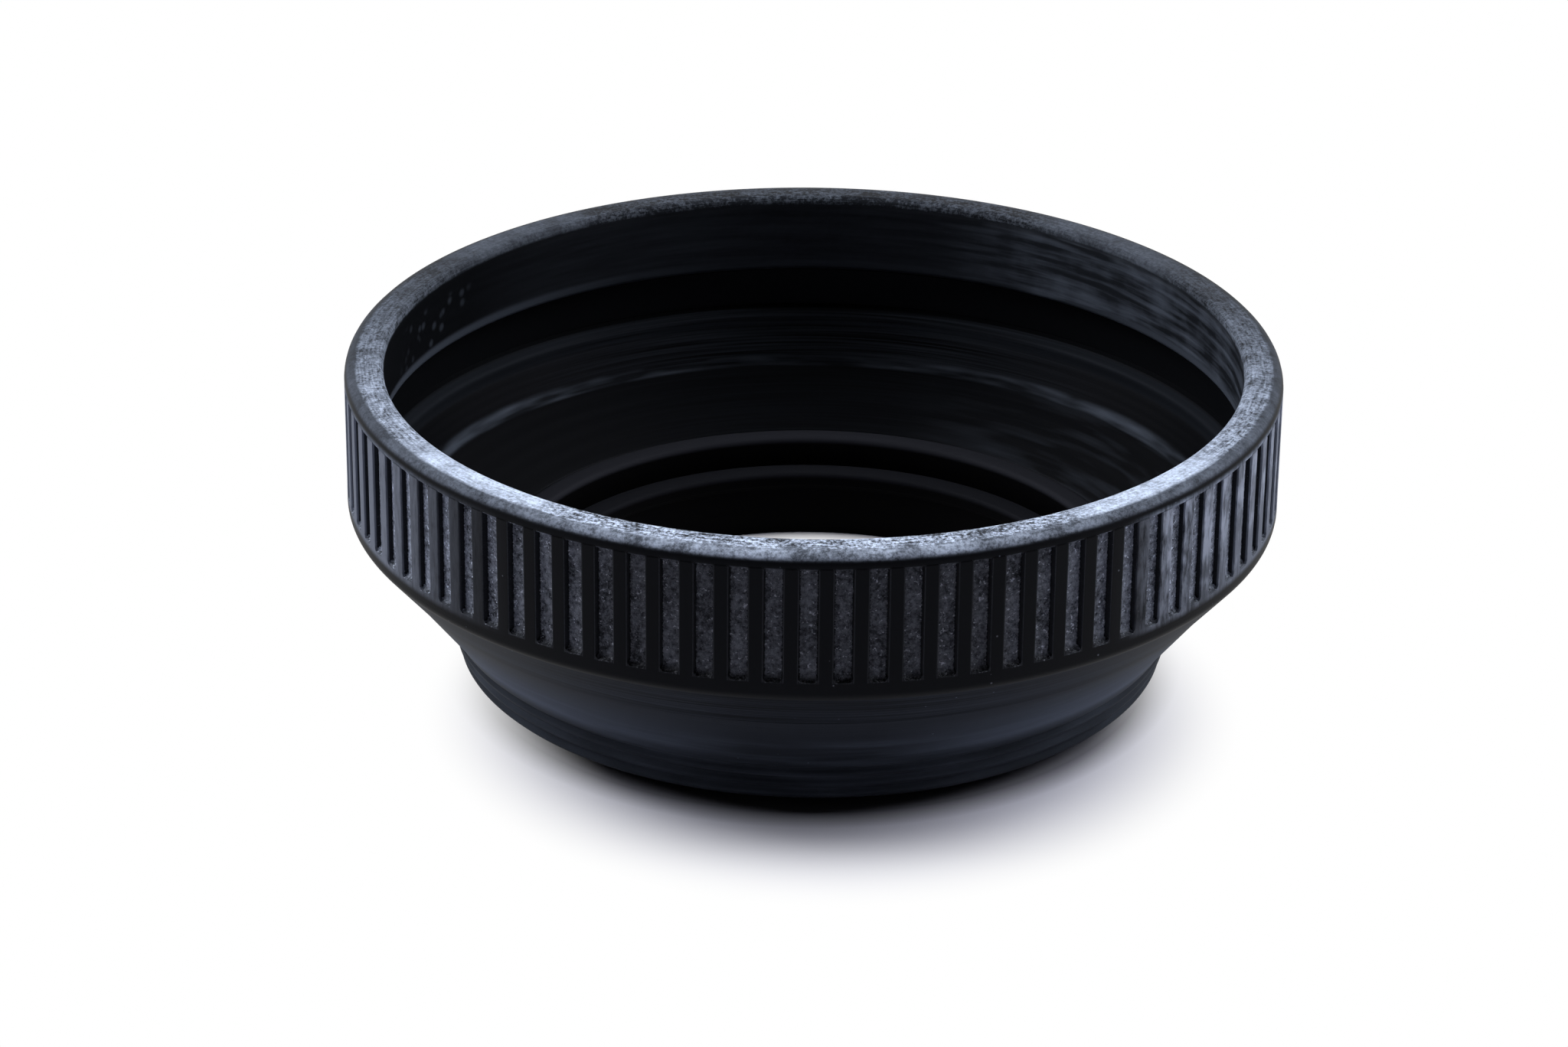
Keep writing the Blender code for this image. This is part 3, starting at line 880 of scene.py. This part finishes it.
def collarMaterial():
    # weathered rubber: the bloom lies thick on the rim, in specks in the grooves, milky on the right side
    s, colours = bloomSettings, rubberSettings
    material, tree, surface, ring = rubberBase("weathered moulded rubber", collarSettings["specular"])
    speck = addNode(tree, "ShaderNodeTexNoise", {"Vector": ring["place"], "Scale": 1 / (s["speckMm"] * mm),
                                                 "Detail": 3.0, "Roughness": 0.7})
    cloud = addNode(tree, "ShaderNodeTexNoise",
                    {"Vector": ring["place"], "Scale": 1 / (s["cloudMm"] * mm), "Detail": 4.0})
    drawn = streaks(tree, ring, *s["drawnMm"])
    patch = addNode(tree, "ShaderNodeTexNoise", {"Vector": ring["place"], "Scale": 1 / (s["patchMm"] * mm),
                                                 "Detail": 3.0, "Roughness": 0.6})
    pitted = addNode(tree, "ShaderNodeTexNoise", {"Vector": ring["place"], "Scale": 1 / (s["pitMm"] * mm),
                                                  "Detail": 3.0, "Roughness": 0.75})
    grain = addNode(tree, "ShaderNodeMath", {0: pitted, 1: s["pitShare"]}, operation="MULTIPLY")
    for noise, share in ((drawn, "drawnShare"), (patch, "patchShare"), (cloud, "cloudShare")):
        grain = addNode(tree, "ShaderNodeMath", {0: noise, 1: s[share], 2: grain}, operation="MULTIPLY_ADD")
    even = addNode(tree, "ShaderNodeMapRange",
                   {"Value": ring["aside"], "From Min": 0.5, "From Max": 0.9, "To Max": 0.45})
    grain = addNode(tree, "ShaderNodeMix", {"Factor": even, "A": grain, "B": s["evenGrain"]})
    mask = rimBloom(tree, ring, grain, cloud)
    grooves = grooveBloom(tree, ring, speck, cloud)
    crests = crestBloom(tree, ring, cloud)
    mouth = mouthBloom(tree, ring, cloud)
    for bloom in (grooves, crests, mouth):
        mask = addNode(tree, "ShaderNodeMath", {0: mask, 1: bloom}, operation="MAXIMUM")

    # the bloom is bluer on the rim than in the middle grooves
    top = window(tree, ring["z"], hoodTop - s["chalkDepth"], hoodTop + past, s["chalkFade"])
    outside = window(tree, ring["radius"], collarRadius - s["skin"], collarRadius + past, s["skinFade"])
    front = addNode(tree, "ShaderNodeMapRange", {"Value": ring["aside"], "From Min": 0.35, "From Max": 0.75,
                                                 "To Min": 1.0, "To Max": 0.5})
    dusty = addNode(tree, "ShaderNodeMath", {0: outside, 1: front}, operation="MULTIPLY")
    chalk = hexColour(colours["film"])
    for where, colour in ((dusty, "dust"), (top, "chalk")):
        chalk = addNode(tree, "ShaderNodeMix", {"Factor": where, 6: chalk, 7: hexColour(colours[colour])},
                        data_type="RGBA").outputs[2]
    layChalk(tree, surface, ring, mask, chalk, outside)
    return material


foldSettings = {
    "crease": (-0.2 * mm, 0.15 * mm),
    "creaseFade": 0.35 * mm,
    "below": 0.4 * mm,
    "belowFade": 0.3 * mm,
    "streakMm": (9.0, 1.6),
}


def foldDust(tree, ring):
    # a line of dust in the corner of the lower fold, broken up along its length, and paler at the sides, a
    # painted highlight
    s = foldSettings
    radius, height = conePoint(coneSettings["foldAlong"], coneSettings["foldWall"])
    dust = window(tree, ring["radius"], radius + s["crease"][0], radius + s["crease"][1], s["creaseFade"])
    inside = window(tree, ring["z"], height - s["below"], height + past, s["belowFade"])
    drawn = streaks(tree, ring, *s["streakMm"])
    broken = addNode(tree, "ShaderNodeMapRange",
                     {"Value": drawn, "From Min": 0.4, "From Max": 0.7, "To Min": 0.008, "To Max": 0.1})
    # painted highlight: the dust line is made paler towards the sides
    sides = addNode(tree, "ShaderNodeMapRange", {"Value": ring["aside"], "From Min": 0.1, "From Max": 0.7,
                                                 "To Min": 0.5, "To Max": 1.0})
    for part in (inside, broken, sides):
        dust = addNode(tree, "ShaderNodeMath", {0: dust, 1: part}, operation="MULTIPLY")
    return dust


def outerFace(tree, ring):
    # one on the outside of the cone and the body, and nothing on the faces inside
    c = coneSettings
    slope = c["flare"] / c["height"]
    depth = addNode(tree, "ShaderNodeMath", {0: ring["z"], 1: -slope, 2: ring["radius"]},
                    operation="MULTIPLY_ADD")
    least = bodyRadius - bodyTop * slope - c["skin"]
    return window(tree, depth, least, collarRadius, c["skinFade"])


def ringLines(tree, ring, strength):
    # faint lines round the axis, in front and at the back
    drawn = streaks(tree, ring, *rubberSettings["ringLineMm"])
    lines = addNode(tree, "ShaderNodeMapRange", {"Value": drawn, "From Min": 0.35, "From Max": 0.65})
    middle = addNode(tree, "ShaderNodeMapRange", {"Value": ring["aside"], "From Min": 0.25, "From Max": 0.75,
                                                  "To Min": strength, "To Max": 0.0})
    return addNode(tree, "ShaderNodeMath", {0: lines, 1: middle}, operation="MULTIPLY")


def webMaterial():
    # thin rubber that folds: matt black, with dust along its lower fold, a painted highlight along its upper
    # lip, and a painted sheen outside towards the sides
    s = webSettings
    material, tree, surface, ring = rubberBase("flexed moulded rubber", s["specular"])
    # painted highlight along the upper lip, stronger towards the sides
    lip = window(tree, ring["radius"], *s["lipHighlight"], s["lipHighlightFade"])
    paintedHighlight = addNode(tree, "ShaderNodeMapRange", {"Value": ring["aside"], "From Min": 0.2, "From Max": 0.85,
                                                  "To Min": 0.005, "To Max": 0.014})
    lip = addNode(tree, "ShaderNodeMath", {0: lip, 1: paintedHighlight}, operation="MULTIPLY")
    lines = ringLines(tree, ring, s["lineFilm"])
    film = addNode(tree, "ShaderNodeMath", {0: lines, 1: lip}, operation="ADD")
    # painted sheen: the outside grows paler towards the sides
    paintedSideSheen = addNode(tree, "ShaderNodeMapRange", {"Value": ring["aside"], "From Min": 0.15, "From Max": 0.8,
                                                  "To Min": 0.0, "To Max": 0.026})
    outer = outerFace(tree, ring)
    film = addNode(tree, "ShaderNodeMath", {0: outer, 1: paintedSideSheen, 2: film}, operation="MULTIPLY_ADD")
    mask = addNode(tree, "ShaderNodeMath", {0: film, 1: foldDust(tree, ring)}, operation="MAXIMUM")
    layChalk(tree, surface, ring, mask, hexColour(rubberSettings["film"]), outer)
    return material


def baseMaterial():
    # smooth thick rubber: a thin bluish film outside, with painted sheen towards the sides, faint smears
    # round the foot, there standing in for highlights on the beads, and smears on the shelf's right side
    s = baseSettings
    material, tree, surface, ring = rubberBase("smooth moulded rubber", s["specular"])
    smear = streaks(tree, ring, *s["smearMm"])
    smear = addNode(tree, "ShaderNodeMapRange",
                    {"Value": smear, "From Min": 0.42, "From Max": 0.78, "To Max": 0.03})
    outer = outerFace(tree, ring)
    # painted highlight: smears low on the body stand in for highlights on the beads
    low = window(tree, ring["z"], -past, bodyTop + s["smearAndHighlightTop"], s["smearAndHighlightTop"])
    low = addNode(tree, "ShaderNodeMath", {0: low, 1: outer}, operation="MULTIPLY")
    right = addNode(tree, "ShaderNodeMapRange", {"Value": ring["right"], "From Min": 0.25, "From Max": 0.8})
    where = addNode(tree, "ShaderNodeMath", {0: low, 1: right}, operation="MAXIMUM")
    smear = addNode(tree, "ShaderNodeMath", {0: smear, 1: where}, operation="MULTIPLY")
    # painted sheen: the film thickens towards the sides
    film = addNode(tree, "ShaderNodeMapRange", {"Value": ring["aside"], "From Min": 0.15, "From Max": 0.8,
                                                "To Min": 0.0, "To Max": 0.074})
    foldHeight = conePoint(coneSettings["foldAlong"], 0)[1]
    # the film is also thicker low on the cone
    settled = addNode(tree, "ShaderNodeMapRange", {"Value": ring["z"], "From Min": bodyTop,
                                                   "From Max": foldHeight, "To Min": 1.9, "To Max": 0.15})
    film = addNode(tree, "ShaderNodeMath", {0: film, 1: settled}, operation="MULTIPLY")
    above = addNode(tree, "ShaderNodeMapRange", {"Value": ring["z"], "From Min": bodyTop - s["filmFrom"],
                                                 "From Max": bodyTop + s["filmTo"], "To Min": 0.1})
    film = addNode(tree, "ShaderNodeMath", {0: film, 1: above, 2: s["leastFilm"]}, operation="MULTIPLY_ADD")
    film = addNode(tree, "ShaderNodeMath", {0: film, 1: outer}, operation="MULTIPLY")
    for layer in (film, ringLines(tree, ring, s["lineFilm"])):
        smear = addNode(tree, "ShaderNodeMath", {0: smear, 1: layer}, operation="ADD")
    mask = addNode(tree, "ShaderNodeMath", {0: smear, 1: foldDust(tree, ring)}, operation="MAXIMUM")
    layChalk(tree, surface, ring, mask, hexColour(rubberSettings["film"]), outer)
    return material


metalSettings = {
    # painted shade: near black for the bore
    "bore": "#040405",
    "roughness": 0.6,
    "specular": 0.02,
    "turnedMm": (40.0, 0.08),    # length and width of the lines left by turning
    "relief": 0.02 * mm,
    "satinFade": 0.3 * mm,
}


def ringMetal(name, colour, satinFrom):
    # black turned metal: a soft dark grey above the given height, and painted near black in the bore below
    # it, a painted shade
    s = metalSettings
    material, tree, surface = newMaterial(name)
    ring = ringCoords(tree)
    lines = streaks(tree, ring, *s["turnedMm"])
    bump = addNode(tree, "ShaderNodeBump", {"Strength": 0.08, "Distance": s["relief"], "Height": lines})
    tree.links.new(bump.outputs[0], surface.inputs["Normal"])
    # painted shade: the colour falls to near black below the given height
    upper = addNode(tree, "ShaderNodeMapRange", {"Value": ring["z"], "From Min": satinFrom - s["satinFade"],
                                                 "From Max": satinFrom})
    shade = addNode(tree, "ShaderNodeMix", {"Factor": upper, 6: hexColour(s["bore"]), 7: hexColour(colour)},
                    data_type="RGBA")
    tree.links.new(shade.outputs[2], surface.inputs["Base Color"])
    surface.inputs["Specular IOR Level"].default_value = s["specular"]
    surface.inputs["Roughness"].default_value = s["roughness"]
    return material


# Build

def dress(piece, material, node, body=None):
    piece.data.materials.clear()
    piece.data.materials.append(material)
    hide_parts(node)
    if body:
        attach(piece, body)


collar = buildCollar()
dress(collar, collarMaterial(), "front_collar", "collar")
print("collar:", len(collar.data.polygons), "faces")

web = buildWeb()
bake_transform(web)
dress(web, webMaterial(), "fold_web")
print("web:", len(web.data.polygons), "faces")

base = buildBase()
dress(base, baseMaterial(), "rubber_base", "base")
print("base:", len(base.data.polygons), "faces")

mount = buildMount()
mountMetal = ringMetal("black anodised aluminium", mountSettings["colour"], hubTop - mountSettings["satin"])
dress(mount, mountMetal, "mount_ring", "base")
lip = buildLip()
lipMetal = ringMetal("black enamelled aluminium", lipSettings["colour"], lipTop - lipSettings["satin"])
dress(lip, lipMetal, "retaining_ring", "base")
print("metal rings:", len(mount.data.polygons) + len(lip.data.polygons), "faces")

# Stage, light and camera

stageSettings = {
    "floorSize": 6.0,
    "backdropDistance": 1.2,
    "paper": "#dcdce9",
    "shadowCentre": (1.8 * mm, -10 * mm, 0),    # the shadow shows in front of the hood, and beyond it the paper glows plain white, fading in so that it paints the shadow's outer edge
    "shadowReach": (21 * mm, 33.7 * mm),        # and the paper is plain white beyond it
    "boreShade": (21.5 * mm, 23.2 * mm),        # inside the hood the paper glows, a painted light, fading out towards the thread as painted shade
    "boreLight": 0.85,
    "paintedShadowPaper": "#75757d",                  # close round the foot the paper is painted darker, a painted contact shadow
    "contactShade": (28.3 * mm, 30.9 * mm),
    "paperRoughness": 0.9,
    "worldGrey": 0.03,
}


def paperMaterial():
    # white paper, plain white where it glows away from the hood; near it the cast shadow, with a painted
    # outer edge, a painted contact shadow round the foot and a painted glow inside the bore
    s = stageSettings
    material, tree, surface = newMaterial("white paper sweep")
    surface.inputs["Roughness"].default_value = s["paperRoughness"]
    surface.inputs["Specular IOR Level"].default_value = 0.0
    place = addNode(tree, "ShaderNodeTexCoord").outputs["Object"]
    away = addNode(tree, "ShaderNodeVectorMath", {0: place, 1: s["shadowCentre"]}, operation="DISTANCE")
    shadowFrom, shadowTo = s["shadowReach"]
    # painted shadow edge: the plain white glow fades in between these distances
    far = addNode(tree, "ShaderNodeMapRange",
                  {"Value": away.outputs["Value"], "From Min": shadowFrom, "From Max": shadowTo},
                  interpolation_type="SMOOTHSTEP")
    fromAxis = addNode(tree, "ShaderNodeVectorMath", {0: place}, operation="LENGTH").outputs["Value"]
    # painted contact shadow: the paper's colour darkens close round the foot
    lit = addNode(tree, "ShaderNodeMapRange", {"Value": fromAxis, "From Min": s["contactShade"][0],
                                               "From Max": s["contactShade"][1]})
    thread = mountSettings["threadRadius"]
    within = addNode(tree, "ShaderNodeMath", {0: fromAxis, 1: thread}, operation="LESS_THAN")
    lit = addNode(tree, "ShaderNodeMath", {0: lit, 1: within}, operation="MAXIMUM")
    shade = addNode(tree, "ShaderNodeMix", {"Factor": lit, 6: hexColour(s["paintedShadowPaper"]),
                                            7: hexColour(s["paper"])}, data_type="RGBA")
    tree.links.new(shade.outputs[2], surface.inputs["Base Color"])
    # painted light inside the bore: the paper glows, fading to painted shade towards the thread
    inside = addNode(tree, "ShaderNodeMapRange", {"Value": fromAxis, "From Min": s["boreShade"][0],
                                                  "From Max": s["boreShade"][1],
                                                  "To Min": s["boreLight"], "To Max": 0.0})
    outside = addNode(tree, "ShaderNodeMath", {0: fromAxis, 1: thread}, operation="GREATER_THAN")
    clear = addNode(tree, "ShaderNodeMath", {0: inside, 1: outside}, operation="MAXIMUM")
    far = addNode(tree, "ShaderNodeMath", {0: far, 1: clear}, operation="MULTIPLY")
    path = addNode(tree, "ShaderNodeLightPath")
    seen = path.outputs["Is Camera Ray"]
    for ray in ("Is Glossy Ray", "Is Transmission Ray"):
        seen = addNode(tree, "ShaderNodeMath", {0: seen, 1: path.outputs[ray]}, operation="ADD")
    share = addNode(tree, "ShaderNodeMath", {0: far, 1: seen}, operation="MULTIPLY", use_clamp=True)
    white = addNode(tree, "ShaderNodeEmission", {"Color": (1, 1, 1, 1), "Strength": 1.0})
    both = addNode(tree, "ShaderNodeMixShader", {0: share, 1: surface, 2: white})
    tree.links.new(both.outputs[0], tree.nodes["Material Output"].inputs["Surface"])
    return material


def buildStage():
    s = stageSettings
    paper = paperMaterial()
    bpy.ops.object.select_all(action="DESELECT")
    bpy.ops.mesh.primitive_plane_add(size=s["floorSize"], location=(0, 0, 0))
    floor = bpy.context.active_object
    floor.name = "floor_paper"
    bpy.ops.mesh.primitive_plane_add(size=s["floorSize"], location=(0, s["backdropDistance"], 0),
                                     rotation=(math.radians(90), 0, 0))
    backdrop = bpy.context.active_object
    backdrop.name = "backdrop_paper"
    bpy.ops.object.transform_apply(location=True, rotation=True, scale=True)
    for sheet in (floor, backdrop):
        sheet.data.materials.append(paper)
    world = bpy.data.worlds.new("studio")
    world.use_nodes = True
    background = world.node_tree.nodes["Background"]
    background.inputs["Color"].default_value = (s["worldGrey"],) * 3 + (1,)
    bpy.context.scene.world = world


lampAim = Vector((0, 0, 10 * mm))
lampColour = (0.95, 0.965, 1.0)
lampSettings = {
    "left": {"place": (-0.50, 0.06, 0.42), "size": (0.4, 0.4), "watts": 4.4},
    "right": {"place": (0.50, 0.06, 0.42), "size": (0.4, 0.4), "watts": 4.1},
    "top": {"place": (0, 0.10, 0.60), "size": (0.6, 0.6), "watts": 0.36},
}


def buildLamps():
    for name, s in lampSettings.items():
        data = bpy.data.lights.new(name + "_softbox", "AREA")
        data.shape = "RECTANGLE"
        data.size, data.size_y = s["size"]
        data.energy = s["watts"]
        data.color = lampColour
        lamp = bpy.data.objects.new(name + "_softbox", data)
        lamp.location = s["place"]
        lamp.rotation_euler = (lampAim - Vector(s["place"])).to_track_quat("-Z", "Y").to_euler()
        bpy.context.scene.collection.objects.link(lamp)


cameraSettings = {
    "frameWide": 2048,           # the photograph's frame, 2048 by 1368
    "focalPixels": 6500,
    "sensorWide": 36.0,
    "place": (0, -371.26 * mm, 185.65 * mm),
    "pitchDown": 25.106,
    "yaw": -0.352,
    "roll": 0.595,
    "clipStart": 0.01,
}


def buildCamera():
    s = cameraSettings
    data = bpy.data.cameras.new("camera")
    data.sensor_fit = "HORIZONTAL"
    data.sensor_width = s["sensorWide"]
    data.lens = s["sensorWide"] * s["focalPixels"] / s["frameWide"]
    data.clip_start = s["clipStart"]
    camera = bpy.data.objects.new("camera", data)
    turn = (Matrix.Rotation(math.radians(-s["yaw"]), 4, "Z")
            @ Matrix.Rotation(math.radians(90 - s["pitchDown"]), 4, "X")
            @ Matrix.Rotation(math.radians(s["roll"]), 4, "Z"))
    camera.matrix_world = Matrix.Translation(s["place"]) @ turn
    bpy.context.scene.collection.objects.link(camera)
    bpy.context.scene.camera = camera


buildStage()
buildLamps()
buildCamera()
bpy.context.scene.view_settings.view_transform = "Standard"
print("stage, lamps and camera in place")
